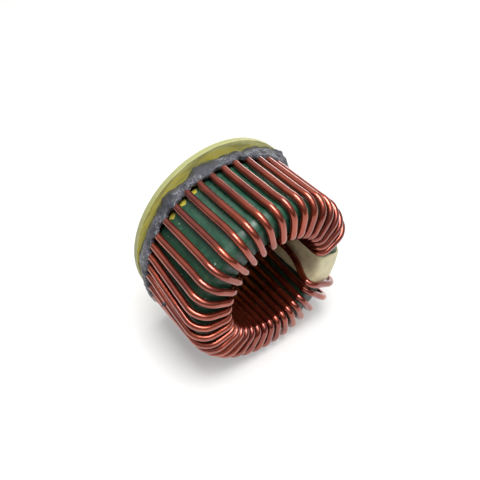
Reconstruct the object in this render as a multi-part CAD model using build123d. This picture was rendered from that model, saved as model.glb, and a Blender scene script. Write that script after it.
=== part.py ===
from build123d import *
import math
import os

# Toroidal power inductor: a rounded ring core wound with one length of enamelled
# wire, bonded by a bead of potting resin to a thin round board. The two wire ends
# leave through holes in the board. A cloth tape is wrapped round the core in the
# stretch that the winding leaves open.
#
# The origin is the centre of the board's underside, the face that seats on a circuit
# board. +Z is the axis of the ring. The tape lies towards +X.
# All lengths are in millimetres and all angles in degrees.

# Ring core
core_outer_diameter = 50.8
core_bore_diameter = 34.0
core_height = 25.4
core_outer_round = 3.5
core_bore_round = 1.0
outer_round_steps = 3
bore_round_steps = 2

# Board under the ring: how far it reaches past the winding all round, and how far the
# ring's axis stands off the board's centre
board_overhang = 0.2
board_thickness = 1.6
ring_offset_x = -0.35
ring_offset_y = -1.8

# Winding wire and the clearances round it. The wire is round, and its turns are drawn
# with a many-sided section, so that the long winding stays light.
wire_diameter = 2.0
wire_section_sides = 12
wire_to_core_gap = 0.2
wire_to_board_gap = 0.15
top_edge_bend_count = 3
bore_edge_bend_count = 2
foot_edge_bend_count = 2

# Spacing of the turns, stretch by stretch: how many turns a stretch has, and the angle
# from turn to turn at the outer top edge, in the bore and at the foot of the outside.
# Where the feet fall behind the top edge, the turns lean.
first_turn_outer_angle = 35.5
first_turn_bore_angle = 24.5
turn_counts = (7, 4, 3, 4, 1, 6, 6, 2)
outer_angle_steps = (9.2, 8.45, 10.0, 10.0, 10.0, 9.15, 8.6, 12.0)
bore_angle_steps = (9.6, 11.25, 10.6, 10.6, 10.6, 8.6, 8.35, 8.35)
foot_angle_steps = (9.2, 8.45, 10.0, 6.9, 10.0, 9.15, 10.6, 12.0)

# How far the last three turns bulge away from the core
loose_end_bulge = (0.6, 2.0, 1.1)

# Straight ends of the wire, as through-hole leads
lead_length = 4.0
lead_hole_clearance = 0.3
finish_lead_angle = 0.0
finish_lead_straight = 5.0

# Cloth tape round the core
tape_width = 10.0
tape_thickness = 0.6
tape_to_core_gap = 0.1
tape_to_wire_gap = 0.1

# Bead of potting resin that hugs the foot of the winding from outside. At one side it
# has spilled over the board's edge.
resin_height = 4.7
resin_shoulder_height = 2.6
resin_to_wire_gap = 0.15
resin_foot_width = 1.6
resin_shoulder_width = 0.4
resin_lip_width = 0.4
resin_foot_lump = 0.35
resin_shoulder_lump = 0.15
resin_lip_lump = 0.15
resin_foot_phase = 0.4
resin_shoulder_phase = 1.1
resin_lip_phase = 1.9
resin_broad_waves = 5
resin_fine_waves = 11
resin_fine_share = 0.6
resin_outline_points = 40
spill_angle = 50.0
spill_spread_angle = 27.0
spill_foot_reach = 4.4
spill_shoulder_reach = 1.6
spill_lip_reach = 0.4

wire_radius = wire_diameter / 2
core_outer_radius = core_outer_diameter / 2
core_bore_radius = core_bore_diameter / 2

# Radii and heights of the wire's middle line where it runs straight along the core
wire_stand = wire_to_core_gap + wire_radius
wire_outside = core_outer_radius + wire_stand
wire_inside = core_bore_radius - wire_stand
wire_below = board_thickness + wire_to_board_gap + wire_radius
core_bottom = wire_below + wire_stand
core_top = core_bottom + core_height

board_radius = wire_outside + wire_radius + board_overhang

# The last turn lies over the tape in the bore, so it runs a little further in
wire_over_tape = (
    core_bore_radius - tape_to_core_gap - tape_thickness - tape_to_wire_gap - wire_radius
)

ring_place = Location((ring_offset_x, ring_offset_y, 0))


def polar(radius, angle, height):
    """Point at a radius and an angle round the ring's axis."""
    turn = math.radians(angle)
    return (radius * math.cos(turn), radius * math.sin(turn), height)


def turn_angles(first_angle, steps):
    """Angle of every turn, from the first one and the step of each stretch."""
    angles = [first_angle]
    for count, step in zip(turn_counts, steps):
        for _ in range(count):
            angles.append(angles[-1] + step)
    return angles


def corner_bends(centre_radius, centre_height, distance, first_angle, bends):
    """Radius and height of the small bends that carry a line round one core edge.

    The runs between the bends stay at the distance, or more, from the edge's centre.
    """
    step = 90 / bends
    reach = distance / math.cos(math.radians(step / 2))
    section = []
    for index in range(bends):
        slope = math.radians(first_angle + (index + 0.5) * step)
        radius = centre_radius + reach * math.cos(slope)
        height = centre_height + reach * math.sin(slope)
        section.append((radius, height))
    return section


def rounded_corner(centre_radius, centre_height, radius, first_angle, steps):
    """Points round one corner of a section, as fine steps on its arc."""
    points = []
    for index in range(steps + 1):
        slope = math.radians(first_angle + 90 * index / steps)
        across = centre_radius + radius * math.cos(slope)
        points.append((across, centre_height + radius * math.sin(slope)))
    return points


def foot_bends(distance):
    """Bends round the core's outer bottom edge, at a distance from the edge's centre."""
    centre_radius = core_outer_radius - core_outer_round
    centre_height = core_bottom + core_outer_round
    return corner_bends(centre_radius, centre_height, distance, -90, foot_edge_bend_count)


def spread_along(section, start_angle, end_angle):
    """Points of a section, turned evenly along its length from one angle to another."""
    lengths = [0.0]
    for here, there in zip(section[:-1], section[1:]):
        lengths.append(lengths[-1] + math.dist(here, there))
    points = []
    for (radius, height), length in zip(section, lengths):
        angle = start_angle + (end_angle - start_angle) * length / lengths[-1]
        points.append(polar(radius, angle, height))
    return points


def over_the_core(bulge, bore_shift):
    """Section of a turn over the outer top edge, the top and the bore's top edge."""
    outer_edge = corner_bends(
        core_outer_radius - core_outer_round, core_top - core_outer_round,
        core_outer_round + wire_stand, 0, top_edge_bend_count,
    )
    bore_edge = corner_bends(
        core_bore_radius + core_bore_round, core_top - core_bore_round,
        core_bore_round + wire_stand, 90, bore_edge_bend_count,
    )
    section = [(radius + bulge, height + bulge / 2) for radius, height in outer_edge]
    section += [(radius - bore_shift, height + bulge / 2) for radius, height in bore_edge]
    return section


def under_the_core():
    """Section of a turn from the foot of the bore to the outer bottom edge."""
    return [(wire_inside, wire_below)] + foot_bends(core_outer_round + wire_stand)


def winding_route():
    """Middle line of the wire, from the start lead round every turn to the finish lead."""
    outer = turn_angles(first_turn_outer_angle, outer_angle_steps)
    bore = turn_angles(first_turn_bore_angle, bore_angle_steps)
    foot = turn_angles(first_turn_outer_angle, foot_angle_steps)
    last = len(outer) - 1
    first_loose = len(outer) - len(loose_end_bulge)
    route = [polar(wire_outside, outer[0], 0)]
    for index in range(last):
        bulge = 0.0
        if index >= first_loose:
            bulge = loose_end_bulge[index - first_loose]
        route += spread_along(over_the_core(bulge, 0.0), outer[index], bore[index])
        bore_foot_angle = (bore[index] + foot[index + 1]) / 2
        route += spread_along(under_the_core(), bore_foot_angle, foot[index + 1])
    bore_shift = wire_inside - wire_over_tape
    route += spread_along(over_the_core(loose_end_bulge[-1], bore_shift), outer[last], bore[last])
    finish_angle = 360 + finish_lead_angle
    route.append(polar(wire_over_tape, finish_angle, board_thickness + finish_lead_straight))
    route.append(polar(wire_over_tape, finish_angle, 0))
    return route


def lead_places():
    """Centres of the two leads, measured from the ring's axis."""
    start = polar(wire_outside, first_turn_outer_angle, 0)
    finish = polar(wire_over_tape, finish_lead_angle, 0)
    return [start, finish]


def core_section(growth):
    """Rounded half section of the core, grown outwards by a small distance."""
    outer_centre = core_outer_radius - core_outer_round
    bore_centre = core_bore_radius + core_bore_round
    outer_round = core_outer_round + growth
    bore_round = core_bore_round + growth
    low_outer = core_bottom + core_outer_round
    high_outer = core_top - core_outer_round
    low_bore = core_bottom + core_bore_round
    high_bore = core_top - core_bore_round
    corners = rounded_corner(outer_centre, low_outer, outer_round, -90, outer_round_steps)
    corners += rounded_corner(outer_centre, high_outer, outer_round, 0, outer_round_steps)
    corners += rounded_corner(bore_centre, high_bore, bore_round, 90, bore_round_steps)
    corners += rounded_corner(bore_centre, low_bore, bore_round, 180, bore_round_steps)
    return make_face(Polyline(*[(radius, 0, height) for radius, height in corners], close=True))


def make_core():
    """Ring core with generously rounded outer edges."""
    return ring_place * revolve(core_section(0), Axis.Z, 360)


def make_winding():
    """The whole winding and its two leads, one length of wire."""
    route = winding_route()
    section = Plane(origin=route[0], z_dir=(0, 0, 1))
    section *= RegularPolygon(wire_radius, wire_section_sides)
    wire = sweep(section, path=Polyline(*route), transition=Transition.RIGHT)
    lead = Pos(0, 0, -lead_length / 2) * Cylinder(wire_radius, lead_length)
    for place in lead_places():
        wire += Pos(*place) * lead
    return ring_place * wire


def make_tape_band():
    """One wrap of tape round the core's section, as wide all the way round."""
    outside = revolve(core_section(tape_to_core_gap + tape_thickness), Axis.Z, 360)
    inside = revolve(core_section(tape_to_core_gap), Axis.Z, 360)
    reach = core_outer_diameter
    strip = Pos(reach / 2, 0, core_bottom + core_height / 2) * Box(reach, tape_width, 2 * reach)
    return ring_place * ((outside - inside) & strip)


def make_base_disc():
    """Thin round board with two plain lead holes."""
    disc = Pos(0, 0, board_thickness / 2) * Cylinder(board_radius, board_thickness)
    hole = Cylinder(wire_radius + lead_hole_clearance / 2, 3 * board_thickness)
    for place in lead_places():
        disc -= ring_place * Pos(*place) * hole
    return disc


def lumpy_outline(radius, lump, spill, phase, height):
    """Closed outline that wanders in and out like hand-laid resin, with the spill's lobe."""
    points = []
    for index in range(resin_outline_points):
        angle = 360 * index / resin_outline_points
        turn = math.radians(angle)
        broad = math.sin(resin_broad_waves * turn + phase)
        fine = math.sin(resin_fine_waves * turn + 2 * phase)
        wander = (broad + resin_fine_share * fine) / (1 + resin_fine_share)
        from_spill = (angle - spill_angle + 180) % 360 - 180
        lobe = spill * math.exp(-(from_spill / spill_spread_angle) ** 2)
        points.append(polar(radius + lump * wander + lobe, angle, height))
    return make_face(Spline(*points, periodic=True))


def foot_hollow():
    """Space inside the resin bead: the winding's outside with its bent foot."""
    bends = foot_bends(core_outer_round + wire_stand + wire_radius + resin_to_wire_gap)
    high = core_top
    section = [(0, -high), (bends[0][0], -high)] + bends + [(bends[-1][0], high), (0, high)]
    outline = Polyline(*[(radius, 0, height) for radius, height in section], close=True)
    return revolve(make_face(outline), Axis.Z, 360)


def make_resin_ring():
    """Bead of resin round the foot of the winding, on the board's upper face."""
    bends = foot_bends(core_outer_round + wire_stand + wire_radius + resin_to_wire_gap)
    foot_radius = bends[0][0]
    wall_radius = bends[-1][0]
    shoulder_share = resin_shoulder_height / (bends[-1][1] - board_thickness)
    shoulder_radius = foot_radius + (wall_radius - foot_radius) * shoulder_share
    layers = [
        (
            foot_radius + resin_foot_width, resin_foot_lump,
            spill_foot_reach, resin_foot_phase, 0,
        ),
        (
            shoulder_radius + resin_shoulder_width, resin_shoulder_lump,
            spill_shoulder_reach, resin_shoulder_phase, resin_shoulder_height,
        ),
        (
            wall_radius + resin_lip_width, resin_lip_lump,
            spill_lip_reach, resin_lip_phase, resin_height,
        ),
    ]
    outlines = []
    for radius, lump, spill, phase, height in layers:
        outlines.append(lumpy_outline(radius, lump, spill, phase, board_thickness + height))
    bead = loft(outlines, ruled=True) - foot_hollow()
    start_lead = lead_places()[0]
    lead_hole = Cylinder(wire_radius + resin_to_wire_gap, 4 * resin_height)
    return ring_place * (bead - Pos(*start_lead) * lead_hole)


def export_nodes():
    """Write every piece as one STEP file named after its node."""
    os.makedirs("parts", exist_ok=True)
    export_step(make_core(), "parts/core.step")
    export_step(make_winding(), "parts/winding.step")
    export_step(make_tape_band(), "parts/tape_band.step")
    export_step(make_base_disc(), "parts/base_disc.step")
    export_step(make_resin_ring(), "parts/resin_ring.step")


export_nodes()
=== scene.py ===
"""Looks of a toroidal inductor: a wound ring core bonded with resin to a round board.

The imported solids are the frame. The board keeps its solid and gets a finish. The core, the
winding, the tape and the resin bead are modelled here with their fine form, in the places
of their solids. The object lies on its side on a pale table, as photographed.
"""

import logging
import math
from dataclasses import dataclass, field
from enum import Enum

import bmesh
import bpy
from mathutils import Matrix, Vector, noise


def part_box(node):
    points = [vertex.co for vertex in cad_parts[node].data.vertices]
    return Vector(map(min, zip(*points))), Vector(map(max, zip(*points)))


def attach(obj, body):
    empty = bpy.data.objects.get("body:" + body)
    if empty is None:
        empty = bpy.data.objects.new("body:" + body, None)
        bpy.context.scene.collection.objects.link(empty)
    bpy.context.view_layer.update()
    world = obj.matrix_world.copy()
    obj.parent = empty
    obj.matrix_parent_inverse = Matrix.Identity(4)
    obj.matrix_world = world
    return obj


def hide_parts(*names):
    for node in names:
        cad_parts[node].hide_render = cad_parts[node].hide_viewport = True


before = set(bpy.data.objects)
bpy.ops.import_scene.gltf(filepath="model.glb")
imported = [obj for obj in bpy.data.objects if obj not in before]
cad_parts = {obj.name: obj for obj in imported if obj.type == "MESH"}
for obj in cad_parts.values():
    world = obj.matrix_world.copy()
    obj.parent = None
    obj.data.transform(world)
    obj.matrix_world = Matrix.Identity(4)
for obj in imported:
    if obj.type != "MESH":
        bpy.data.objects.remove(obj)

LOG = logging.getLogger("toroidal_inductor")

MM = 0.001
FEWEST_ARC_POINTS = 3
Colour = tuple[float, float, float]
Pair = tuple[float, float]
Triple = tuple[float, float, float]
Face = tuple[int, ...]
Socket = bpy.types.NodeSocket


class Slot(Enum):
    """Material slots of the record."""

    CORE = "core_paint"
    WIRE = "enamelled_wire"
    TAPE = "tape"
    BOARD = "board"
    RESIN = "resin"


def polar(radius: float, angle: float, height: float, centre: Pair = (0.0, 0.0)) -> Vector:
    """Point round the ring's axis.

    Args:
        radius: Distance from the ring's axis, in millimetres.
        angle: Angle round the axis, in degrees.
        height: Height over the board's underside, in millimetres.
        centre: Where the ring's axis stands, in millimetres.

    Returns:
        The point, in metres.
    """
    turn = math.radians(angle)
    x = centre[0] + radius * math.cos(turn)
    y = centre[1] + radius * math.sin(turn)
    return Vector((x, y, height)) * MM


def apart(angle: float, other: float) -> float:
    """Signed angle from the other angle to this one, between -180 and 180 degrees."""
    return (angle - other + 180.0) % 360.0 - 180.0


def uneven(along: float, across: float, seed: float) -> float:
    """Smooth value between about -0.5 and 0.5 that changes with two places."""
    return noise.noise(Vector((along, across, seed)))


@dataclass(frozen=True)
class Wave:
    """Smooth unevenness round the ring, which repeats every full turn.

    The height is in millimetres, the speed says how fast it changes, and the seed picks one
    of many such curves.
    """

    height: float
    speed: float
    seed: float

    def at(self, angle: float) -> float:
        """Unevenness at an angle in degrees, up to about the height each way."""
        turn = math.radians(angle)
        drift = uneven(math.cos(turn) * self.speed, math.sin(turn) * self.speed, self.seed)
        return self.height * (drift * 2)


def lerp(start: float, end: float, share: float) -> float:
    """Value a share of the way from start to end."""
    return start + (end - start) * share


def clamp(value: float, low: float = 0.0, high: float = 1.0) -> float:
    """Value kept between a low and a high one."""
    return max(low, min(high, value))


def ease(share: float) -> float:
    """Share from 0 to 1 with a soft start and end."""
    share = clamp(share)
    return share * share * (3 - 2 * share)


@dataclass(frozen=True)
class Ring:
    """The core's rounded section and its place, in millimetres."""

    outer_radius: float
    bottom: float
    top: float
    centre: Pair
    board_top: float
    bore_radius: float = 17.0
    outer_round: float = 3.5
    bore_round: float = 1.0

    @classmethod
    def from_frame(cls) -> "Ring":
        """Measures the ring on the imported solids.

        Returns:
            The ring that the pieces are built round.
        """
        low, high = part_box("core")
        return cls(
            outer_radius=(high.x - low.x) / 2 / MM,
            bottom=low.z / MM,
            top=high.z / MM,
            centre=((low.x + high.x) / 2 / MM, (low.y + high.y) / 2 / MM),
            board_top=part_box("base_disc")[1].z / MM,
        )

    def place(self, radius: float, angle: float, height: float) -> Vector:
        """Point round the ring's axis, in metres."""
        return polar(radius, angle, height, self.centre)

    def outline(self, stand: float, step: float) -> dict[str, list[Pair]]:
        """Rounded section at a distance from the core, in named stretches.

        Args:
            stand: Distance from the core's surface, in millimetres.
            step: Greatest distance between points, in millimetres.

        Returns:
            Radius and height of the points of each stretch, in the order of a turn: up the
            outside, over the shoulder, across the top, round the bore's edge, down the bore,
            round its lower edge, along the bottom and round the foot.
        """
        outer = self.outer_radius - self.outer_round
        inner = self.bore_radius + self.bore_round
        high = self.top - self.outer_round
        low = self.bottom + self.outer_round
        bore_high = self.top - self.bore_round
        bore_low = self.bottom + self.bore_round
        big = self.outer_round + stand
        small = self.bore_round + stand
        return {
            "outside": straight((outer + big, low), (outer + big, high), step),
            "shoulder": bend((outer, high), big, 0, 90, step),
            "top": straight((outer, high + big), (inner, high + big), step),
            "bore_edge": bend((inner, bore_high), small, 90, 180, step),
            "bore": straight((inner - small, bore_high), (inner - small, bore_low), step),
            "bore_foot": bend((inner, bore_low), small, 180, 270, step),
            "bottom": straight((inner, bore_low - small), (outer, bore_low - small), step),
            "foot": bend((outer, low), big, 270, 360, step),
        }

    def whole_outline(self, stand: float, step: float) -> list[Pair]:
        """The same section in one piece, all the way round."""
        return [point for stretch in self.outline(stand, step).values() for point in stretch]


def straight(start: Pair, end: Pair, step: float) -> list[Pair]:
    """Evenly spaced points of a straight line, without its last point.

    Args:
        start: Where it starts, in millimetres.
        end: Where it ends.
        step: Greatest distance between points.

    Returns:
        The points.
    """
    count = max(1, math.ceil(math.dist(start, end) / step))
    return [
        (lerp(start[0], end[0], index / count), lerp(start[1], end[1], index / count))
        for index in range(count)
    ]


def bend(centre: Pair, radius: float, first: float, last: float, step: float) -> list[Pair]:
    """Evenly spaced points of an arc, without its last point.

    Args:
        centre: The arc's centre, in millimetres.
        radius: Its radius.
        first: Angle where it starts, in degrees.
        last: Angle where it ends.
        step: Greatest distance between points.

    Returns:
        The points.
    """
    length = radius * math.radians(last - first)
    count = max(FEWEST_ARC_POINTS, math.ceil(length / step))
    points = []
    for index in range(count):
        turn = math.radians(lerp(first, last, index / count))
        points.append((centre[0] + radius * math.cos(turn), centre[1] + radius * math.sin(turn)))
    return points


class Sketch:
    """Adds nodes to one node tree and joins them."""

    def __init__(self, tree: bpy.types.NodeTree) -> None:
        """Keeps the tree that the nodes go to."""
        self.tree = tree

    def add(self, kind: str, settings: dict | None = None, **inputs: object) -> bpy.types.Node:
        """One new node.

        Args:
            kind: Blender's name of the node's type.
            settings: Properties of the node itself.
            inputs: Values or sockets for its inputs, with _ for each space.

        Returns:
            The node.
        """
        node = self.tree.nodes.new(kind)
        for name, value in (settings or {}).items():
            setattr(node, name, value)
        for name, value in inputs.items():
            self.feed(node.inputs[name.replace("_", " ")], value)
        return node

    def feed(self, socket: Socket, value: object) -> None:
        """Links a socket into an input, or sets the input to a value.

        Args:
            socket: The input.
            value: The socket to link, or a number, a vector or a colour.
        """
        if isinstance(value, Socket):
            self.tree.links.new(value, socket)
        elif isinstance(value, tuple) and socket.type == "RGBA":
            socket.default_value = (*value, 1.0)
        else:
            socket.default_value = value

    def math(self, operation: str, first: object, second: object = 0.0) -> Socket:
        """Result of a math node.

        Args:
            operation: Blender's name of the operation.
            first: Its first value or socket.
            second: Its second value or socket.

        Returns:
            The node's output.
        """
        node = self.add("ShaderNodeMath", {"operation": operation})
        self.feed(node.inputs[0], first)
        self.feed(node.inputs[1], second)
        return node.outputs[0]

    def times(self, first: object, second: object) -> Socket:
        """Product of two values or sockets."""
        return self.math("MULTIPLY", first, second)

    def blend(self, share: object, first: object, second: object) -> Socket:
        """Colour that goes from the first to the second as share goes from 0 to 1.

        Args:
            share: Value or socket.
            first: Colour or socket.
            second: Colour or socket.

        Returns:
            The mixed colour.
        """
        node = self.add("ShaderNodeMix", {"data_type": "RGBA"}, Factor=share)
        self.feed(node.inputs[6], first)
        self.feed(node.inputs[7], second)
        return node.outputs[2]

    def between(self, value: object, low: float, high: float) -> Socket:
        """Smooth mask: 0 where value is below low and 1 where it is above high."""
        node = self.add(
            "ShaderNodeMapRange",
            {"interpolation_type": "SMOOTHSTEP"},
            Value=value, From_Min=low, From_Max=high, To_Min=0.0, To_Max=1.0,
        )
        return node.outputs["Result"]

    def spread(self, value: object, low: float, high: float) -> Socket:
        """Value from 0 to 1 turned into one from low to high."""
        node = self.add(
            "ShaderNodeMapRange", Value=value, From_Min=0.0, From_Max=1.0, To_Min=low, To_Max=high
        )
        return node.outputs["Result"]

    def noise(self, place: Socket, scale: object, detail: float = 2.0, **inputs: float) -> Socket:
        """Noise between about 0.3 and 0.7.

        Args:
            place: Where it is read.
            scale: How many blotches go into a metre.
            detail: How many finer noises it holds.
            inputs: Roughness and distortion, where they aren't the usual ones.

        Returns:
            The noise.
        """
        node = self.add("ShaderNodeTexNoise", Vector=place, Scale=scale, Detail=detail, **inputs)
        return node.outputs["Fac"]

    def length(self, across: Socket, along: Socket) -> Socket:
        """Length of a flat offset that has two parts at right angles."""
        node = self.add("ShaderNodeVectorMath", {"operation": "LENGTH"})
        offset = self.add("ShaderNodeCombineXYZ", X=across, Y=along)
        self.feed(node.inputs[0], offset.outputs["Vector"])
        return node.outputs["Value"]

    def place(self) -> Socket:
        """Place on the object, in metres in its own frame."""
        return self.add("ShaderNodeTexCoord").outputs["Object"]

    def height(self, place: Socket) -> Socket:
        """Height of a place over the board's underside, in metres."""
        return self.add("ShaderNodeSeparateXYZ", Vector=place).outputs["Z"]

    def group(self, effect: "Effect", **inputs: object) -> bpy.types.NodeOutputs:
        """One use of a shared effect.

        Args:
            effect: The effect.
            inputs: Its own values or sockets here, with _ for each space.

        Returns:
            The effect's outputs.
        """
        return self.add("ShaderNodeGroup", {"node_tree": effect.tree()}, **inputs).outputs

    def skin(self, relief: Socket, strength: float, depth: float, **inputs: object) -> Socket:
        """Principled shader over a relief.

        Args:
            relief: Height of the relief, from 0 to about 1.
            strength: How strongly it shows.
            depth: Its depth, in metres.
            inputs: Values or sockets for the shader, with _ for each space.

        Returns:
            The shader's output.
        """
        bump = self.add("ShaderNodeBump", Height=relief, Strength=strength, Distance=depth)
        shader = self.add("ShaderNodeBsdfPrincipled", Normal=bump.outputs["Normal"], **inputs)
        return shader.outputs["BSDF"]


class Effect:
    """A node group that finishes share. It is built at its first use."""

    name = "effect"
    inputs: dict[str, tuple[str, float]] = {}
    outputs: tuple[str, ...] = ()

    def tree(self) -> bpy.types.NodeTree:
        """The group's node tree, made once.

        Returns:
            The tree.
        """
        tree = bpy.data.node_groups.get(self.name)
        if tree is None:
            tree = bpy.data.node_groups.new(self.name, "ShaderNodeTree")
            for name, (kind, value) in self.inputs.items():
                socket = tree.interface.new_socket(name, in_out="INPUT", socket_type=kind)
                if kind == "NodeSocketFloat":
                    socket.default_value = value
            for name in self.outputs:
                tree.interface.new_socket(name, in_out="OUTPUT", socket_type="NodeSocketFloat")
            sketch = Sketch(tree)
            start = sketch.add("NodeGroupInput")
            end = sketch.add("NodeGroupOutput")
            self.fill(sketch, start.outputs, end.inputs)
        return tree

    def fill(self, sketch: Sketch, given: object, result: object) -> None:
        """Adds the nodes between the group's inputs and outputs.

        Args:
            sketch: Draws in the group's tree.
            given: The sockets that the group is given.
            result: The sockets that it puts out.
        """
        raise NotImplementedError


class Mottle(Effect):
    """Soft blotches of two sizes, for colour that varies over a surface."""

    name = "mottle"
    inputs = {
        "Vector": ("NodeSocketVector", 0.0),
        "Scale": ("NodeSocketFloat", 200.0),
        "Fine": ("NodeSocketFloat", 0.4),
    }
    outputs = ("Mask", "Fine Mask")
    fine_ratio = 5.3
    contrast = (0.36, 0.64)

    def fill(self, sketch: Sketch, given: object, result: object) -> None:
        """Two noises, the finer one about a fifth of the size.

        Args:
            sketch: Draws in the group's tree.
            given: The sockets that the group is given.
            result: The sockets that it puts out.
        """
        place = given["Vector"]
        broad = sketch.noise(place, given["Scale"], 3.0, Roughness=0.55)
        fine = sketch.noise(place, sketch.times(given["Scale"], self.fine_ratio), Roughness=0.5)
        broad_mask = sketch.between(broad, *self.contrast)
        fine_mask = sketch.between(fine, *self.contrast)
        share = sketch.add("ShaderNodeMix", Factor=given["Fine"])
        sketch.feed(share.inputs[2], broad_mask)
        sketch.feed(share.inputs[3], fine_mask)
        sketch.feed(result["Mask"], share.outputs[0])
        sketch.feed(result["Fine Mask"], fine_mask)


class Specks(Effect):
    """Small round specks, such as nibs in a coating."""

    name = "specks"
    inputs = {
        "Vector": ("NodeSocketVector", 0.0),
        "Scale": ("NodeSocketFloat", 600.0),
        "Size": ("NodeSocketFloat", 0.25),
        "Share": ("NodeSocketFloat", 0.3),
    }
    outputs = ("Mask",)

    def fill(self, sketch: Sketch, given: object, result: object) -> None:
        """Cells with a dot at their middle, in the share of the cells that is asked for.

        Args:
            sketch: Draws in the group's tree.
            given: The sockets that the group is given.
            result: The sockets that it puts out.
        """
        cells = sketch.add("ShaderNodeTexVoronoi", Vector=given["Vector"], Scale=given["Scale"])
        near = sketch.math("LESS_THAN", cells.outputs["Distance"], given["Size"])
        pick = sketch.add("ShaderNodeSeparateColor", Color=cells.outputs["Color"])
        chosen = sketch.math("LESS_THAN", pick.outputs["Red"], given["Share"])
        sketch.feed(result["Mask"], sketch.times(near, chosen))


class RaggedLine(Effect):
    """Mask that is 1 under a level of a value, with a ragged hand-made edge."""

    name = "ragged_line"
    inputs = {
        "Vector": ("NodeSocketVector", 0.0),
        "Value": ("NodeSocketFloat", 0.0),
        "Level": ("NodeSocketFloat", 0.0),
        "Ragged": ("NodeSocketFloat", 0.0005),
        "Scale": ("NodeSocketFloat", 150.0),
        "Soft": ("NodeSocketFloat", 0.0002),
    }
    outputs = ("Mask",)
    noise_gain = 4.0

    def fill(self, sketch: Sketch, given: object, result: object) -> None:
        """The level goes up and down with a noise before the value is held against it.

        Args:
            sketch: Draws in the group's tree.
            given: The sockets that the group is given.
            result: The sockets that it puts out.
        """
        drift = sketch.noise(given["Vector"], given["Scale"])
        centred = sketch.math("SUBTRACT", drift, 0.5)
        shift = sketch.times(centred, sketch.times(given["Ragged"], self.noise_gain))
        over = sketch.math("SUBTRACT", given["Value"], sketch.math("ADD", given["Level"], shift))
        share = sketch.math("DIVIDE", over, given["Soft"])
        inside = sketch.math("SUBTRACT", 0.5, share)
        clamped = sketch.math("MINIMUM", sketch.math("MAXIMUM", inside, 0.0), 1.0)
        sketch.feed(result["Mask"], clamped)


class RoundAxis(Effect):
    """Where a place lies round an upright axis: its angle in radians and its distance."""

    name = "round_axis"
    inputs = {
        "Vector": ("NodeSocketVector", 0.0),
        "Centre X": ("NodeSocketFloat", 0.0),
        "Centre Y": ("NodeSocketFloat", 0.0),
    }
    outputs = ("Angle", "Away")

    def fill(self, sketch: Sketch, given: object, result: object) -> None:
        """The axis is taken off the place before both are measured.

        Args:
            sketch: Draws in the group's tree.
            given: The sockets that the group is given.
            result: The sockets that it puts out.
        """
        parts = sketch.add("ShaderNodeSeparateXYZ", Vector=given["Vector"]).outputs
        across = sketch.math("SUBTRACT", parts["X"], given["Centre X"])
        along = sketch.math("SUBTRACT", parts["Y"], given["Centre Y"])
        sketch.feed(result["Angle"], sketch.math("ARCTAN2", along, across))
        sketch.feed(result["Away"], sketch.length(across, along))


MOTTLE = Mottle()
SPECKS = Specks()
RAGGED_LINE = RaggedLine()
ROUND_AXIS = RoundAxis()


@dataclass(frozen=True)
class Finish:
    """A surface finish. Each kind builds its own material."""

    name: str

    def material(self) -> bpy.types.Material:
        """The material, made once.

        Returns:
            The material.
        """
        found = bpy.data.materials.get(self.name)
        if found is None:
            found = bpy.data.materials.new(self.name)
            found.use_nodes = True
            found.node_tree.nodes.clear()
            sketch = Sketch(found.node_tree)
            output = sketch.add("ShaderNodeOutputMaterial")
            sketch.feed(output.inputs["Surface"], self.surface(sketch))
        return found

    def surface(self, sketch: Sketch) -> Socket:
        """Builds the shader.

        Args:
            sketch: Draws in the material's tree.

        Returns:
            The shader's output.
        """
        raise NotImplementedError


@dataclass(frozen=True)
class Enamel(Finish):
    """Glossy enamel over copper wire, with bare tinned ends under the board."""

    deep: Colour = (0.220, 0.034, 0.020)
    light: Colour = (0.370, 0.066, 0.029)
    tin: Colour = (0.60, 0.59, 0.56)
    tinned_below: float = -0.6 * MM
    tin_edge: float = 0.15 * MM
    tin_dullness: float = 0.08
    roughness: Pair = (0.20, 0.28)
    metallic: Pair = (0.85, 1.0)
    coat: Pair = (0.9, 0.0)

    def surface(self, sketch: Sketch) -> Socket:
        """Warm metal under a clear coat. The coat ends where the tin begins.

        Args:
            sketch: Draws in the material's tree.

        Returns:
            The shader's output.
        """
        place = sketch.place()
        blotch = sketch.group(MOTTLE, Vector=place, Scale=90.0, Fine=0.15)
        colour = sketch.blend(blotch["Mask"], self.deep, self.light)
        tinned = sketch.group(
            RAGGED_LINE, Vector=place, Value=sketch.height(place), Level=self.tinned_below,
            Ragged=self.tin_edge, Scale=900.0, Soft=self.tin_edge,
        )["Mask"]
        rough = sketch.spread(blotch["Mask"], *self.roughness)
        return sketch.skin(
            blotch["Fine Mask"], strength=0.25, depth=0.03 * MM,
            Base_Color=sketch.blend(tinned, colour, self.tin),
            Metallic=sketch.spread(tinned, *self.metallic),
            Roughness=sketch.math("ADD", rough, sketch.times(tinned, self.tin_dullness)),
            Coat_Weight=sketch.spread(tinned, *self.coat),
            Coat_Roughness=0.05,
        )


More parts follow.
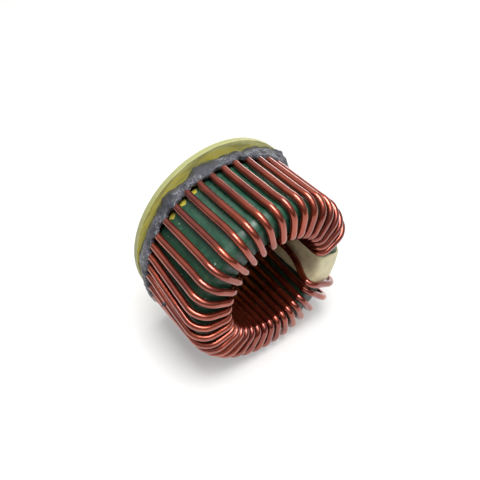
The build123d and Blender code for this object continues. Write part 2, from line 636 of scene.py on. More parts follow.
@dataclass(frozen=True)
class CoreCoating(Finish):
    """Glossy green coating of the ring, with the yellow of its bottom face at a few feet and
    painted shade along its foot.
    """

    centre: Pair
    deep: Colour = (0.009, 0.050, 0.028)
    light: Colour = (0.023, 0.090, 0.051)
    nib: Colour = (0.28, 0.38, 0.32)
    painted_foot_shade: Colour = (0.010, 0.011, 0.009)
    yellow: Colour = (0.44, 0.38, 0.05)
    roughness: Pair = (0.36, 0.52)
    foot_below: float = 6.3 * MM
    bottom_face: float = 4.0 * MM
    bottom_edge: float = 0.05 * MM
    spot_angles: tuple[float, ...] = (130.5, 139.5, 149.5)
    spot_height: float = 6.85 * MM
    spot_radius: float = 1.05 * MM
    surface_radius: float = 25.4 * MM

    def surface(self, sketch: Sketch) -> Socket:
        """Mottled paint with nibs and the faint orange peel of a dipped coating.

        Args:
            sketch: Draws in the material's tree.

        Returns:
            The shader's output.
        """
        place = sketch.place()
        height = sketch.height(place)
        blotch = sketch.group(MOTTLE, Vector=place, Scale=170.0, Fine=0.45)
        green = sketch.blend(blotch["Mask"], self.deep, self.light)
        nibs = sketch.group(SPECKS, Vector=place, Scale=620.0, Size=0.14, Share=0.16)["Mask"]
        green = sketch.blend(nibs, green, self.nib)
        # Painted shade: under the foot level the green turns near black. This is the shade in the
        # gap between the core's foot, the resin and the turns.
        low = sketch.group(
            RAGGED_LINE, Vector=place, Value=height, Level=self.foot_below,
            Ragged=0.45 * MM, Scale=240.0, Soft=0.2 * MM,
        )["Mask"]
        bare = sketch.between(height, self.bottom_face + self.bottom_edge, self.bottom_face)
        for middle in self.spot_angles:
            bare = sketch.math("MAXIMUM", bare, self.spot(sketch, place, height, middle))
        return sketch.skin(
            sketch.math("ADD", blotch["Mask"], nibs), strength=0.5, depth=0.06 * MM,
            Base_Color=sketch.blend(bare, sketch.blend(low, green, self.painted_foot_shade), self.yellow),
            Roughness=sketch.spread(blotch["Fine Mask"], *self.roughness),
            Coat_Weight=0.15,
            Coat_Roughness=0.2,
        )

    def spot(self, sketch: Sketch, place: Socket, height: Socket, middle: float) -> Socket:
        """Mask of one ragged spot where the yellow shows between the feet of two turns.

        Args:
            sketch: Draws in the material's tree.
            place: Place on the object.
            height: Its height.
            middle: Angle of the spot's middle, in degrees.

        Returns:
            The mask.
        """
        x, y = self.centre
        angle = sketch.group(ROUND_AXIS, Vector=place, Centre_X=x * MM, Centre_Y=y * MM)["Angle"]
        turned = sketch.math("SUBTRACT", angle, math.radians(middle))
        beside = sketch.times(turned, self.surface_radius)
        above = sketch.math("SUBTRACT", height, self.spot_height)
        return sketch.group(
            RAGGED_LINE, Vector=place, Value=sketch.length(beside, above),
            Level=self.spot_radius, Ragged=0.35 * MM, Scale=900.0, Soft=0.15 * MM,
        )["Mask"]


@dataclass(frozen=True)
class WovenTape(Finish):
    """Cream cloth tape, varnished and a little stained."""

    cream: Colour = (0.80, 0.73, 0.47)
    stain_and_weave_shade: Colour = (0.58, 0.53, 0.31)
    threads_per_mm: float = 2.2
    stain_range: Pair = (0.35, 1.0)
    stain_share: float = 0.6
    hollow_shade: float = 0.3
    roughness: Pair = (0.55, 0.75)

    def surface(self, sketch: Sketch) -> Socket:
        """Two crossing sets of threads raise the surface, and the hollows between them are
        darkened as painted shade. The map is in millimetres.

        Args:
            sketch: Draws in the material's tree.

        Returns:
            The shader's output.
        """
        cloth = sketch.add("ShaderNodeUVMap", {"uv_map": "cloth"}).outputs["UV"]
        threads = []
        for direction in ("X", "Y"):
            wave = sketch.add(
                "ShaderNodeTexWave",
                {"wave_type": "BANDS", "bands_direction": direction, "wave_profile": "SIN"},
                Vector=cloth, Scale=self.threads_per_mm * math.pi / 10, Distortion=0.6,
                Detail=1.0, Detail_Scale=2.0,
            )
            threads.append(wave.outputs["Fac"])
        weave = sketch.math("MAXIMUM", *threads)
        blotch = sketch.group(MOTTLE, Vector=sketch.place(), Scale=140.0, Fine=0.3)
        patches = sketch.between(blotch["Mask"], *self.stain_range)
        colour = sketch.blend(sketch.times(patches, self.stain_share), self.cream, self.stain_and_weave_shade)
        # Painted shade: the hollows between the threads are darkened towards the stain colour.
        shade = sketch.times(sketch.math("SUBTRACT", 1.0, weave), self.hollow_shade)
        return sketch.skin(
            weave, strength=0.6, depth=0.08 * MM,
            Base_Color=sketch.blend(shade, colour, self.stain_and_weave_shade),
            Roughness=sketch.spread(blotch["Fine Mask"], *self.roughness),
            Sheen_Weight=0.15,
            Coat_Weight=0.12,
            Coat_Roughness=0.3,
        )


@dataclass(frozen=True)
class Laminate(Finish):
    """Pale yellow glass-fibre board with a greenish cut edge and yellow glue round the resin."""

    centre: Pair
    face: Colour = (0.60, 0.595, 0.25)
    edge: Colour = (0.34, 0.345, 0.15)
    glue: Colour = (0.66, 0.57, 0.08)
    line: Colour = (0.26, 0.25, 0.10)
    glue_inside: float = 28.3 * MM
    glue_wander: float = 0.5 * MM
    glue_gloss: float = 0.6
    glue_patches: Pair = (0.45, 1.0)
    streaks_per_metre: float = 620.0
    streak_range: Pair = (0.47, 0.62)
    streak_length: float = 5.0 * MM
    streak_share: float = 0.6
    speckle_share: float = 0.15
    face_above: float = 1.42 * MM
    face_edge: float = 0.1 * MM
    roughness: Pair = (0.42, 0.6)

    def surface(self, sketch: Sketch) -> Socket:
        """Face, edge and glue are told apart by height and by distance from the ring's axis.

        The face is unrolled round that axis, so that its dark streaks run along the rim.

        Args:
            sketch: Draws in the material's tree.

        Returns:
            The shader's output.
        """
        place = sketch.place()
        x, y = self.centre
        turned = sketch.group(ROUND_AXIS, Vector=place, Centre_X=x * MM, Centre_Y=y * MM)
        glued = sketch.group(
            RAGGED_LINE, Vector=place, Value=turned["Away"], Level=self.glue_inside,
            Ragged=self.glue_wander, Scale=120.0, Soft=self.glue_wander,
        )["Mask"]
        height = sketch.height(place)
        on_face = sketch.between(height, self.face_above, self.face_above + self.face_edge)
        blotch = sketch.group(MOTTLE, Vector=place, Scale=160.0, Fine=0.5)
        patches = sketch.spread(blotch["Mask"], *self.glue_patches)
        glued = sketch.times(sketch.times(glued, on_face), patches)
        round_rim = sketch.times(turned["Angle"], self.streak_length)
        unrolled = sketch.add("ShaderNodeCombineXYZ", X=turned["Away"], Y=round_rim)
        smear = sketch.noise(
            unrolled.outputs["Vector"], self.streaks_per_metre, 3.0, Roughness=0.6, Distortion=0.5
        )
        dark = sketch.times(sketch.between(smear, *self.streak_range), on_face)
        colour = sketch.blend(on_face, self.edge, self.face)
        speckle = sketch.times(blotch["Fine Mask"], self.speckle_share)
        colour = sketch.blend(speckle, colour, self.line)
        colour = sketch.blend(glued, colour, self.glue)
        return sketch.skin(
            blotch["Mask"], strength=0.3, depth=0.05 * MM,
            Base_Color=sketch.blend(sketch.times(dark, self.streak_share), colour, self.line),
            Roughness=sketch.spread(blotch["Fine Mask"], *self.roughness),
            Coat_Weight=sketch.times(glued, self.glue_gloss),
            Coat_Roughness=0.15,
        )


@dataclass(frozen=True)
class PottingResin(Finish):
    """Dark grey potting resin, smooth on its slope and wrinkled along its crest."""

    deep: Colour = (0.026, 0.027, 0.036)
    light: Colour = (0.062, 0.064, 0.077)
    # Pale grey of the painted glints: a painted highlight on the wrinkle ridges.
    pale: Colour = (0.42, 0.42, 0.49)
    roughness: Pair = (0.42, 0.58)
    wrinkled_above: float = 4.6 * MM
    crest_span: float = 1.2 * MM
    cluster_range: Pair = (0.45, 0.75)
    wrinkles_per_metre: float = 1500.0
    wrinkle_width: Pair = (0.045, 0.012)
    painted_glint: float = 0.9
    soft_relief: float = 0.35

    def surface(self, sketch: Sketch) -> Socket:
        """Mottled grey. Clusters of fine wrinkles near the crest raise the surface, and their
        ridges are painted pale as painted glints.

        Args:
            sketch: Draws in the material's tree.

        Returns:
            The shader's output.
        """
        place = sketch.place()
        blotch = sketch.group(MOTTLE, Vector=place, Scale=210.0, Fine=0.35)
        grey = sketch.blend(blotch["Mask"], self.deep, self.light)
        lowest = self.wrinkled_above - self.crest_span
        crest = sketch.between(sketch.height(place), lowest, self.wrinkled_above)
        patches = sketch.group(MOTTLE, Vector=place, Scale=190.0, Fine=0.2)["Mask"]
        clusters = sketch.times(crest, sketch.between(patches, *self.cluster_range))
        fine = sketch.noise(place, self.wrinkles_per_metre, 3.0, Roughness=0.6, Distortion=0.8)
        ridge = sketch.math("ABSOLUTE", sketch.math("SUBTRACT", fine, 0.5))
        wrinkle_and_glint = sketch.times(sketch.between(ridge, *self.wrinkle_width), clusters)
        soft = sketch.times(blotch["Fine Mask"], self.soft_relief)
        return sketch.skin(
            sketch.math("ADD", wrinkle_and_glint, soft), strength=0.9, depth=0.2 * MM,
            # Painted highlight: the wrinkle ridges are painted pale, so glints are put into the
            # colour.
            Base_Color=sketch.blend(sketch.times(wrinkle_and_glint, self.painted_glint), grey, self.pale),
            Roughness=sketch.spread(blotch["Fine Mask"], *self.roughness),
            Coat_Weight=0.15,
            Coat_Roughness=0.12,
        )


@dataclass(frozen=True)
class TableTop(Finish):
    """Plain white table that can be seen only from its upper side."""

    white: Colour = (0.62, 0.615, 0.605)
    camera_lift: float = 0.25

    def surface(self, sketch: Sketch) -> Socket:
        """Matte white, lifted a little for the camera, and clear from behind.

        Args:
            sketch: Draws in the material's tree.

        Returns:
            The shader's output.
        """
        matte = sketch.add("ShaderNodeBsdfDiffuse", Color=self.white, Roughness=0.4)
        rays = sketch.add("ShaderNodeLightPath").outputs
        seen = sketch.math("MAXIMUM", rays["Is Camera Ray"], rays["Is Glossy Ray"])
        seen = sketch.math("MAXIMUM", seen, rays["Is Transmission Ray"])
        lift = sketch.add(
            "ShaderNodeEmission", Color=(1.0, 1.0, 1.0),
            Strength=sketch.times(seen, self.camera_lift),
        )
        lifted = sketch.add("ShaderNodeAddShader")
        sketch.feed(lifted.inputs[0], matte.outputs[0])
        sketch.feed(lifted.inputs[1], lift.outputs[0])
        clear = sketch.add("ShaderNodeBsdfTransparent")
        behind = sketch.add("ShaderNodeNewGeometry").outputs["Backfacing"]
        one_sided = sketch.add("ShaderNodeMixShader", Fac=behind)
        sketch.feed(one_sided.inputs[1], lifted.outputs[0])
        sketch.feed(one_sided.inputs[2], clear.outputs[0])
        return one_sided.outputs[0]


def mesh_piece(
    name: str, points: list[Vector], faces: list[Face], finish: Finish
) -> bpy.types.Object:
    """Smooth mesh object in the scene.

    Args:
        name: Name of the piece.
        points: Corners, in metres.
        faces: Corner numbers of each face. They are turned to face outwards here.
        finish: Finish of its whole surface.

    Returns:
        The new object.
    """
    mesh = bpy.data.meshes.new(name)
    mesh.from_pydata(points, [], faces)
    mesh.validate()
    form = bmesh.new()
    form.from_mesh(mesh)
    bmesh.ops.recalc_face_normals(form, faces=form.faces)
    form.to_mesh(mesh)
    form.free()
    mesh.polygons.foreach_set("use_smooth", [True] * len(mesh.polygons))
    mesh.materials.append(finish.material())
    piece = bpy.data.objects.new(name, mesh)
    bpy.context.scene.collection.objects.link(piece)
    return piece


def ring_faces(rings: int, sides: int, closed: bool) -> list[Face]:
    """Faces that join rings of points, one after the other.

    Args:
        rings: How many rings there are.
        sides: How many points a ring has.
        closed: True where the last ring joins the first.

    Returns:
        Four corners for each face.
    """
    faces = []
    spans = rings if closed else rings - 1
    for ring in range(spans):
        after = (ring + 1) % rings
        for side in range(sides):
            beside = (side + 1) % sides
            faces.append((
                ring * sides + side,
                ring * sides + beside,
                after * sides + beside,
                after * sides + side,
            ))
    return faces


@dataclass(frozen=True)
class Turn:
    """Where one turn lies round the ring: at its shoulder, in the bore and at its foot."""

    outer: float
    bore: float
    foot: float


@dataclass
class Winding:
    """The wire: 34 hand-wound turns with the smooth bends of real wire, and two leads."""

    ring: Ring
    finish: Finish = Enamel("enamelled wire")
    wire_radius: float = 1.0
    wire_stand: float = 1.2
    sides: int = 18
    step: float = 0.75
    first_outer: float = 35.5
    first_bore: float = 24.5
    counts: tuple[int, ...] = (7, 4, 3, 4, 1, 6, 6, 2)
    outer_steps: tuple[float, ...] = (9.2, 8.45, 10.0, 10.0, 10.0, 9.15, 8.6, 12.0)
    bore_steps: tuple[float, ...] = (9.6, 11.25, 10.6, 10.6, 10.6, 8.6, 8.35, 8.35)
    foot_steps: tuple[float, ...] = (9.2, 8.45, 10.0, 6.9, 10.0, 9.15, 10.6, 12.0)
    loose_end_bulge: tuple[float, ...] = (0.6, 2.0, 1.1)
    loose_end_swing: tuple[float, ...] = (1.0, 3.5, 6.5)
    over_tape_radius: float = 15.2
    finish_angle: float = 360.0
    finish_straight: float = 5.0
    finish_slack: float = 1.6
    slack_depth: float = 8.0
    cross_depth: float = 13.0
    slack_stations: int = 14
    slack_lift: float = 0.8
    lead_end: float = -4.0
    sway: float = 0.35
    sway_speed: Pair = (0.11, 0.06)
    sway_seed: float = 3.1
    sway_rise: float = 10.0
    still_radius: float = 22.0
    sway_span: float = 4.0
    smooth_reach: int = 4
    turns: list[Turn] = field(default_factory=list)

    def __post_init__(self) -> None:
        """Works out the angles of each turn."""
        outer = foot = self.first_outer
        bore = self.first_bore
        self.turns.append(Turn(outer, bore, foot))
        stretches = zip(self.counts, self.outer_steps, self.bore_steps, self.foot_steps)
        for count, outer_step, bore_step, foot_step in stretches:
            for _ in range(count):
                outer += outer_step
                bore += bore_step
                foot += foot_step
                self.turns.append(Turn(outer, bore, foot))
        first_loose = len(self.turns) - len(self.loose_end_swing)
        for index, swing in enumerate(self.loose_end_swing, first_loose):
            turn = self.turns[index]
            self.turns[index] = Turn(turn.outer, turn.bore + swing, turn.foot)

    def bulge(self, index: int) -> float:
        """How far a turn stands away from the core at its shoulder."""
        loose = index - (len(self.turns) - len(self.loose_end_bulge))
        return self.loose_end_bulge[loose] if loose >= 0 else 0.0

    def stations(self) -> list[Triple]:
        """Stations of the wire's middle line.

        Returns:
            Radius, angle and height of each, in order.
        """
        line: list[Triple] = []
        outside = self.ring.outer_radius + self.wire_stand
        section = self.ring.outline(self.wire_stand, self.step)
        over = section["shoulder"] + section["top"] + section["bore_edge"]
        under = section["bore_foot"] + section["bottom"] + section["foot"]
        low = self.ring.bottom + self.ring.outer_round
        for radius, height in straight((outside, self.lead_end), (outside, low), self.step):
            line.append((radius, self.first_outer, height))
        for index, turn in enumerate(self.turns):
            bulge = self.bulge(index)
            self.lay(line, section["outside"], (turn.foot, turn.outer), (0.0, bulge))
            self.lay(line, over, (turn.outer, turn.bore), (bulge, 0.0))
            if index + 1 < len(self.turns):
                after = self.turns[index + 1].foot
                middle = (turn.bore + after) / 2
                self.lay(line, section["bore"], (turn.bore, middle), (0.0, 0.0))
                self.lay(line, under, (middle, after), (0.0, 0.0))
        self.shift_inwards(line)
        self.lay_finish(line)
        return line

    def lay_finish(self, line: list[Triple]) -> None:
        """Adds the end of the wire, which crosses the tape in the bore and leaves as a lead.

        Args:
            line: Stations so far. The new ones are added to it.
        """
        foot = self.ring.board_top + self.finish_straight
        top = line[-1][2]
        start, end = self.turns[-1].bore, self.finish_angle
        inside = self.over_tape_radius
        for radius, height in straight((inside, top), (inside, foot), self.step):
            slack = self.finish_slack * (1 - ease((top - height) / self.slack_depth))
            share = ease((top - height) / self.cross_depth)
            line.append((radius - slack, lerp(start, end, share), height))
        for radius, height in straight((inside, foot), (inside, self.lead_end), self.step):
            line.append((radius, end, height))
        line.append((inside, end, self.lead_end))

    def shift_inwards(self, line: list[Triple]) -> None:
        """Carries the last stations in towards the axis: the last turn hangs loose.

        Args:
            line: Stations so far. The last ones are moved.
        """
        shift = self.ring.bore_radius - self.wire_stand - self.over_tape_radius
        shift += self.finish_slack
        for back in range(self.slack_stations):
            radius, angle, height = line[-1 - back]
            share = ease(1 - back / self.slack_stations)
            line[-1 - back] = (radius - shift * share, angle, height + self.slack_lift * share)

    @staticmethod
    def lay(line: list[Triple], section: list[Pair], angles: Pair, bulges: Pair) -> None:
        """Adds a stretch of the section that turns evenly from one angle to another.

        Args:
            line: Stations so far. The new ones are added to it.
            section: Radius and height of the stretch's points.
            angles: Angles where it starts and ends, in degrees.
            bulges: How far it stands away from the core where it starts and ends.
        """
        count = len(section)
        for number, (radius, height) in enumerate(section):
            share = number / count
            away = lerp(*bulges, ease(share))
            line.append((radius + away, lerp(*angles, share), height + away / 2))

    def middle_line(self) -> list[Vector]:
        """Smooth middle line of the wire, with the small sway of hand-laid turns.

        Returns:
            Its points, in metres.
        """
        stations = self.stations()
        angles = [angle for _, angle, _ in stations]
        reach = self.smooth_reach
        smooth = []
        for number in range(len(angles)):
            near = angles[max(0, number - reach):number + reach + 1]
            if number < reach or number >= len(angles) - reach:
                near = [angles[number]]
            smooth.append(sum(near) / len(near))
        points = []
        for (radius, _, height), angle in zip(stations, smooth):
            free = clamp((height - self.ring.bottom) / self.sway_rise)
            outside = clamp((radius - self.still_radius) / self.sway_span)
            along, up = self.sway_speed
            drift = uneven(angle * along, height * up, self.sway_seed) * self.sway
            points.append(self.ring.place(radius, angle + drift * free * outside, height))
        return points

    def build(self) -> bpy.types.Object:
        """A round tube along the middle line, with flat ends.

        Returns:
            The new piece.
        """
        line = self.middle_line()
        rings: list[Vector] = []
        direction = (line[1] - line[0]).normalized()
        side = direction.orthogonal().normalized()
        radius = self.wire_radius * MM
        last = len(line) - 1
        for number, centre in enumerate(line):
            ahead = line[min(number + 1, last)] - line[max(number - 1, 0)]
            direction = ahead.normalized()
            side = (side - direction * side.dot(direction)).normalized()
            other = direction.cross(side)
            for corner in range(self.sides):
                turn = 2 * math.pi * corner / self.sides
                rings.append(centre + (side * math.cos(turn) + other * math.sin(turn)) * radius)
        faces = ring_faces(len(line), self.sides, closed=False)
        faces.append(tuple(reversed(range(self.sides))))
        faces.append(tuple(range(len(rings) - self.sides, len(rings))))
        piece = mesh_piece("wire_winding", rings, faces, self.finish)
        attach(piece, "root")
        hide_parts("winding")
        return piece


@dataclass
class CoreRing:
    """The pressed ring under its dipped coating, a little uneven as such rings are."""

    ring: Ring
    finish: Finish
    step: float = 0.6
    columns: int = 300
    unevenness: float = 0.05
    bumps_per_metre: float = 260.0

    def build(self) -> bpy.types.Object:
        """The rounded section, turned round the axis.

        Returns:
            The new piece.
        """
        outline = self.ring.whole_outline(-self.unevenness, self.step)
        points: list[Vector] = []
        for column in range(self.columns):
            angle = 360.0 * column / self.columns
            for radius, height in outline:
                spot = self.ring.place(radius, angle, height)
                bump = clamp(2 * noise.noise(spot * self.bumps_per_metre), -1.0, 1.0)
                points.append(self.ring.place(radius + self.unevenness * bump, angle, height))
        faces = ring_faces(self.columns, len(outline), closed=True)
        piece = mesh_piece("coated_core", points, faces, self.finish)
        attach(piece, "root")
        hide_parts("core")
        return piece


@dataclass
class TapeBand:
    """Cloth tape round the core's section, with soft uneven edges."""

    ring: Ring
    finish: Finish = WovenTape("woven tape")
    width: float = 10.0
    thickness: float = 0.6
    gap: float = 0.1
    step: float = 0.4
    columns: int = 20
    edge_drop: float = 0.45
    edge_corner: float = 0.3
    ripple: float = 0.05
    ripple_speed: Pair = (0.35, 0.5)
    ripple_seed: float = 7.7
    fray: float = 0.12
    fray_speed: float = 0.5
    fray_seed: float = 1.3

    def profile(self) -> list[Pair]:
        """The tape's cross section.

        Returns:
            Place across the width and height over the tape's underside, once round.
        """
        half = self.width / 2
        soft = self.thickness * self.edge_drop
        corner = soft * self.edge_corner
        upper = []
        for column in range(self.columns + 1):
            across = lerp(-half, half, column / self.columns)
            upper.append((across, self.thickness))
        upper[0] = (-half, self.thickness - soft)
        upper.insert(1, (-half + corner, self.thickness - corner))
        upper[-1] = (half, self.thickness - soft)
        upper.insert(-1, (half - corner, self.thickness - corner))
        lower = [(half, 0.0), (half / 3, 0.0), (-half / 3, 0.0), (-half, 0.0)]
        return upper + lower

    def build(self) -> bpy.types.Object:
        """Rings of points across the tape, all the way round the section.

        Returns:
            The new piece.
        """
        inner = self.ring.whole_outline(self.gap, self.step)
        outer = self.outer_outline()
        profile = self.profile()
        speed_along, speed_across = self.ripple_speed
        points: list[Vector] = []
        cloth: list[Pair] = []
        along = 0.0
        for number, (low, high) in enumerate(zip(inner, outer)):
            if number:
                along += math.dist(low, inner[number - 1])
            for across, height in profile:
                share = height / self.thickness
                if share > 0:
                    lift = uneven(along * speed_along, across * speed_across, self.ripple_seed)
                    share = min(share + lift * self.ripple, 1.0)
                radius = lerp(low[0], high[0], share)
                level = lerp(low[1], high[1], share)
                edge = across + uneven(along * self.fray_speed, 0.0, self.fray_seed) * self.fray
                turn = math.degrees(math.asin(clamp(edge / radius, -1.0, 1.0)))
                points.append(self.ring.place(radius, turn, level))
                cloth.append((along, across))
        faces = ring_faces(len(inner), len(profile), closed=True)
        piece = mesh_piece("tape_wrap", points, faces, self.finish)
        layer = piece.data.uv_layers.new(name="cloth")
        for loop in piece.data.loops:
            layer.data[loop.index].uv = cloth[loop.vertex_index]
        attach(piece, "root")
        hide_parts("tape_band")
        return piece

    def outer_outline(self) -> list[Pair]:
        """The tape's outer side, with as many points in each stretch as its inner side.

        Returns:
            Radius and height of each point.
        """
        fine = self.ring.outline(self.gap + self.thickness, self.step / 8)
        outline = []
        for name, points in self.ring.outline(self.gap, self.step).items():
            dense = fine[name]
            count = len(points)
            outline.extend(dense[round(index * len(dense) / count)] for index in range(count))
        return outline


@dataclass(frozen=True)
class Spill:
    """Place where the resin ran out over the board: its reach at the foot and its sunken crest."""

    angle: float
    spread: float
    foot_reach: float
    sink: float

    def share(self, angle: float) -> float:
        """1 in the middle of the spill, falling to 0 beside it."""
        return math.exp(-(apart(angle, self.angle) / self.spread) ** 2)


@dataclass(frozen=True)
class Drop:
    """Small drop of resin that hangs on the outside of the turns."""

    angle: float
    height: float
    radius: float
    size: float
    rows: int = 9
    sides: int = 16
    lumpiness: float = 0.5
    lump_speed: float = 1.3

    def add(self, ring: Ring, points: list[Vector], faces: list[Face]) -> None:
        """Adds the drop to a mesh.

        Args:
            ring: The ring that it hangs on.
            points: Corners so far, in metres. The drop's are added to them.
            faces: Faces so far. The drop's are added to them.
        """
        first = len(points)
        middle = ring.place(self.radius, self.angle, self.height)
        for row in range(self.rows):
            tilt = math.pi * (row + 0.5) / self.rows
            flat = math.sin(tilt)
            for side in range(self.sides):
                turn = 2 * math.pi * side / self.sides
                out = Vector((flat * math.cos(turn), flat * math.sin(turn), math.cos(tilt)))
                size = self.size * (1 + self.lumpiness * noise.noise(out * self.lump_speed))
                points.append(middle + out * size * MM)
        for corners in ring_faces(self.rows, self.sides, closed=False):
            faces.append(tuple(first + corner for corner in corners))
        faces.append(tuple(range(first, first + self.sides)))
        faces.append(tuple(reversed(range(len(points) - self.sides, len(points)))))


@dataclass
class ResinBead:
    """Hand-laid bead of resin that grips the feet of the turns."""

    ring: Ring
    turns: list[Turn]
    finish: Finish = PottingResin("potting resin")
    spill: Spill = Spill(angle=50.0, spread=30.0, foot_reach=3.7, sink=1.3)
    drop: Drop = Drop(angle=198.2, height=16.2, radius=27.75, size=0.6)
    steps: int = 1440
    foot_radius: float = 26.1
    foot_waves: tuple[Wave, Wave] = (Wave(0.8, 4.2, 0.4), Wave(0.4, 13.0, 5.2))
    crest_radius: float = 27.7
    crest_wave: Wave = Wave(0.15, 9.0, 2.9)
    crest_bulge: float = 0.1
    crest_height: float = 4.6
    height_waves: tuple[Wave, Wave] = (Wave(0.35, 4.0, 8.3), Wave(0.25, 16.0, 1.7))
    climb: float = 0.8
    dome: float = 0.5
    belly: float = 0.35
    inner_radius: float = 26.2
    inner_slope: float = 2.0
    wire_width: float = 1.25
    lumps: tuple[Pair, Pair] = ((0.12, 1100.0), (0.28, 380.0))
    lump_fade: float = 0.8
    lump_rise: float = 0.8
    outer_rows: int = 20
    crest_rows: int = 9
    inner_rows: int = 4

    def closeness(self, angle: float) -> float:
        """How near an angle is to the foot of a turn.

        Args:
            angle: The angle, in degrees.

        Returns:
            1 at a turn's foot, falling to about 0 midway between turns.
        """
        best = 0.0
        for turn in self.turns:
            reach = math.radians(apart(angle, turn.foot)) * self.crest_radius / self.wire_width
            best = max(best, math.exp(-reach * reach))
        return best

    def section(self, angle: float) -> list[Pair]:
        """The bead's outline at an angle.

        Args:
            angle: The angle, in degrees.

        Returns:
            Radius and height of its points, once round.
        """
        near = self.closeness(angle)
        spilt = self.spill.share(angle)
        sweep, ripple = self.foot_waves
        foot = self.foot_radius + sweep.at(angle) + ripple.at(angle)
        foot += self.spill.foot_reach * spilt
        crest = self.crest_radius + self.crest_bulge * near + self.crest_wave.at(angle)
        level = self.crest_height + self.climb * near - self.spill.sink * spilt
        sweep, ripple = self.height_waves
        level += sweep.at(angle) + ripple.at(angle)
        base = self.ring.board_top
        outline = []
        for row in range(self.outer_rows):
            share = row / self.outer_rows
            lean = math.sin(share * math.pi / 2)
            belly = self.belly * math.sin(share * math.pi)
            outline.append((lerp(foot, crest, lean) + belly, base + level * share))
        half = (crest - self.inner_radius) / 2
        for row in range(self.crest_rows + 1):
            turn = math.pi * row / self.crest_rows
            radius = (crest + self.inner_radius) / 2 + half * math.cos(turn)
            outline.append((radius, base + level + self.dome * math.sin(turn)))
        for row in range(1, self.inner_rows + 1):
            share = row / self.inner_rows
            inner = lerp(self.inner_radius, self.inner_radius - self.inner_slope, share)
            outline.append((inner, base + level * (1 - share)))
        return outline

    def roughened(self, radius: float, angle: float, height: float) -> Vector:
        """Point of the bead moved by its small lumps, which fade out towards the board.

        Args:
            radius: Distance from the ring's axis, in millimetres.
            angle: Angle round the axis, in degrees.
            height: Height over the board's underside, in millimetres.

        Returns:
            The point, in metres.
        """
        base = self.ring.board_top
        spot = self.ring.place(radius, angle, height)
        lift = clamp((height - base) / self.lump_fade)
        lump = sum(size * noise.noise(spot * speed) for size, speed in self.lumps)
        level = max(base, height + lump * lift * self.lump_rise)
        return self.ring.place(radius + lump * lift, angle, level)

    def build(self) -> bpy.types.Object:
        """Sections side by side all round, and the drop.

        Returns:
            The new piece.
        """
        points: list[Vector] = []
        sides = 0
        for number in range(self.steps):
            angle = 360.0 * number / self.steps
            outline = self.section(angle)
            sides = len(outline)
            points.extend(self.roughened(radius, angle, height) for radius, height in outline)
        faces = ring_faces(self.steps, sides, closed=True)
        self.drop.add(self.ring, points, faces)
        piece = mesh_piece("resin_bead", points, faces, self.finish)
        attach(piece, "root")
        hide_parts("resin_ring")
        return piece


@dataclass
class Board:
    """The round board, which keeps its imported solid."""

    finish: Finish
    node: str = "base_disc"

    def build(self) -> bpy.types.Object:
        """Puts the finish in each of the solid's material slots.

        Returns:
            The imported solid.
        """
        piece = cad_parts[self.node]
        if not piece.material_slots:
            piece.data.materials.append(None)
        for slot in piece.material_slots:
            slot.link = "OBJECT"
            slot.material = self.finish.material()
        return piece


@dataclass(frozen=True)
class Lamp:
    """Soft square lamp aimed at the object.

    Its place is to the camera's right, away from the table and towards the camera, and its
    place and size are in metres. Its power is in watts.
    """

    name: str
    place: Triple
    size: float
    power: float


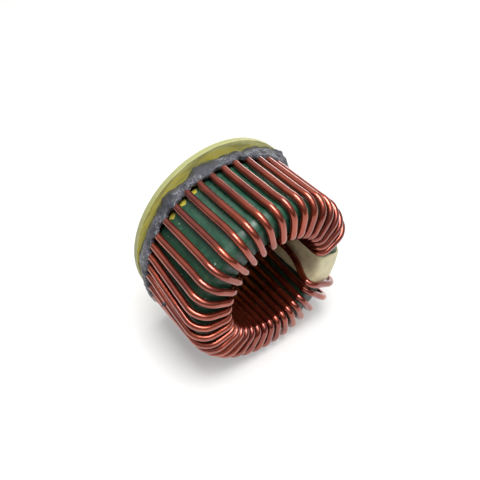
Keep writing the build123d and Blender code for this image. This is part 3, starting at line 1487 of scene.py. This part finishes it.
@dataclass
class Studio:
    """Table, lamps and camera. The table lies under the side that the object rests on."""

    ring: Ring
    rest_angle: float = -74.0
    rest_radius: float = 27.75
    table_size: float = 3.0
    camera_place: Triple = (-101.73, 92.28, 107.67)
    camera_target: Triple = (-1.19, 2.10, 12.89)
    focal_length: float = 43.3
    near_clip: float = 0.005
    dome_edge: Pair = (0.1, 0.95)
    ambient: Pair = (0.04, 0.68)
    gloss: Pair = (0.08, 0.80)
    lamps: tuple[Lamp, ...] = (
        Lamp("key_lamp", (0.02, 0.55, 0.05), 0.28, 3.0),
        Lamp("fill_lamp", (0.17, 0.52, 0.22), 0.3, 1.0),
        Lamp("rim_lamp", (0.17, 0.10, -0.52), 0.22, 0.55),
    )

    def up(self) -> Vector:
        """Direction away from the table."""
        turn = math.radians(self.rest_angle)
        return Vector((-math.cos(turn), -math.sin(turn), 0.0))

    def contact(self) -> Vector:
        """A point of the table under the object.

        Returns:
            The point, in metres.
        """
        middle = (self.ring.bottom + self.ring.top) / 2
        centre = Vector((*self.ring.centre, middle)) * MM
        return centre - self.up() * self.rest_radius * MM

    def add_table(self) -> None:
        """Adds the large flat table top, which is a part of the stage."""
        half = self.table_size / 2
        mesh = bpy.data.meshes.new("table_top")
        corners = [(-half, -half, 0), (half, -half, 0), (half, half, 0), (-half, half, 0)]
        mesh.from_pydata(corners, [], [(0, 1, 2, 3)])
        mesh.materials.append(TableTop("white table").material())
        table = bpy.data.objects.new("table_top", mesh)
        bpy.context.scene.collection.objects.link(table)
        table.rotation_mode = "QUATERNION"
        table.rotation_quaternion = self.up().to_track_quat("Z", "Y")
        table.location = self.contact()

    def add_lamp(self, kind: Lamp) -> None:
        """Adds one lamp.

        Args:
            kind: Its place, size and power.
        """
        up = self.up()
        towards = Vector(self.camera_place) * MM - self.contact()
        towards = (towards - up * towards.dot(up)).normalized()
        right = up.cross(towards).normalized()
        light = bpy.data.lights.new(kind.name, "AREA")
        light.shape = "SQUARE"
        light.size = kind.size
        light.energy = kind.power
        lamp = bpy.data.objects.new(kind.name, light)
        bpy.context.scene.collection.objects.link(lamp)
        beside, above, ahead = kind.place
        lamp.location = self.contact() + right * beside + up * above + towards * ahead
        lamp.rotation_mode = "QUATERNION"
        lamp.rotation_quaternion = (lamp.location - self.contact()).to_track_quat("Z", "Y")

    def add_camera(self) -> None:
        """Adds the camera at the photograph's place, upright over the table."""
        lens = bpy.data.cameras.new("camera")
        lens.lens = self.focal_length
        lens.clip_start = self.near_clip
        camera = bpy.data.objects.new("camera", lens)
        bpy.context.scene.collection.objects.link(camera)
        place = Vector(self.camera_place) * MM
        back = (place - Vector(self.camera_target) * MM).normalized()
        right = self.up().cross(back).normalized()
        above = back.cross(right)
        turned = Matrix((right, above, back)).transposed().to_4x4()
        camera.matrix_world = Matrix.Translation(place) @ turned
        bpy.context.scene.camera = camera

    def add_world(self) -> None:
        """Adds soft light from above that fades towards the table, and a white background."""
        world = bpy.data.worlds.new("studio")
        world.use_nodes = True
        world.node_tree.nodes.clear()
        sketch = Sketch(world.node_tree)
        facing = sketch.add("ShaderNodeVectorMath", {"operation": "DOT_PRODUCT"})
        sketch.feed(facing.inputs[0], sketch.add("ShaderNodeTexCoord").outputs["Generated"])
        sketch.feed(facing.inputs[1], tuple(self.up()))
        height = sketch.between(facing.outputs["Value"], *self.dome_edge)
        rays = sketch.add("ShaderNodeLightPath").outputs
        seen = sketch.math("MAXIMUM", rays["Is Camera Ray"], rays["Is Transmission Ray"])
        light = sketch.spread(height, *self.ambient)
        gloss = sketch.times(rays["Is Glossy Ray"], sketch.spread(height, *self.gloss))
        strength = sketch.math("MAXIMUM", sketch.math("MAXIMUM", seen, gloss), light)
        background = sketch.add("ShaderNodeBackground", Color=(1.0, 1.0, 1.0), Strength=strength)
        output = sketch.add("ShaderNodeOutputWorld")
        sketch.feed(output.inputs["Surface"], background.outputs[0])
        bpy.context.scene.world = world

    def build(self) -> None:
        """Sets up the whole studio."""
        self.add_table()
        for kind in self.lamps:
            self.add_lamp(kind)
        self.add_world()
        self.add_camera()
        bpy.context.scene.view_settings.view_transform = "Standard"


def main() -> None:
    """Builds every piece in order and reports it."""
    logging.basicConfig(level=logging.INFO, format="%(name)s: %(message)s")
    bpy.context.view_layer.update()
    ring = Ring.from_frame()
    winding = Winding(ring)
    builders = (
        Board(Laminate("laminate board", centre=ring.centre)),
        CoreRing(ring, CoreCoating("core coating", centre=ring.centre)),
        TapeBand(ring),
        winding,
        ResinBead(ring, winding.turns),
    )
    for builder in builders:
        piece = builder.build()
        LOG.info("%s: %d faces", piece.name, len(piece.data.polygons))
    Studio(ring).build()


if __name__ == "__main__":
    main()
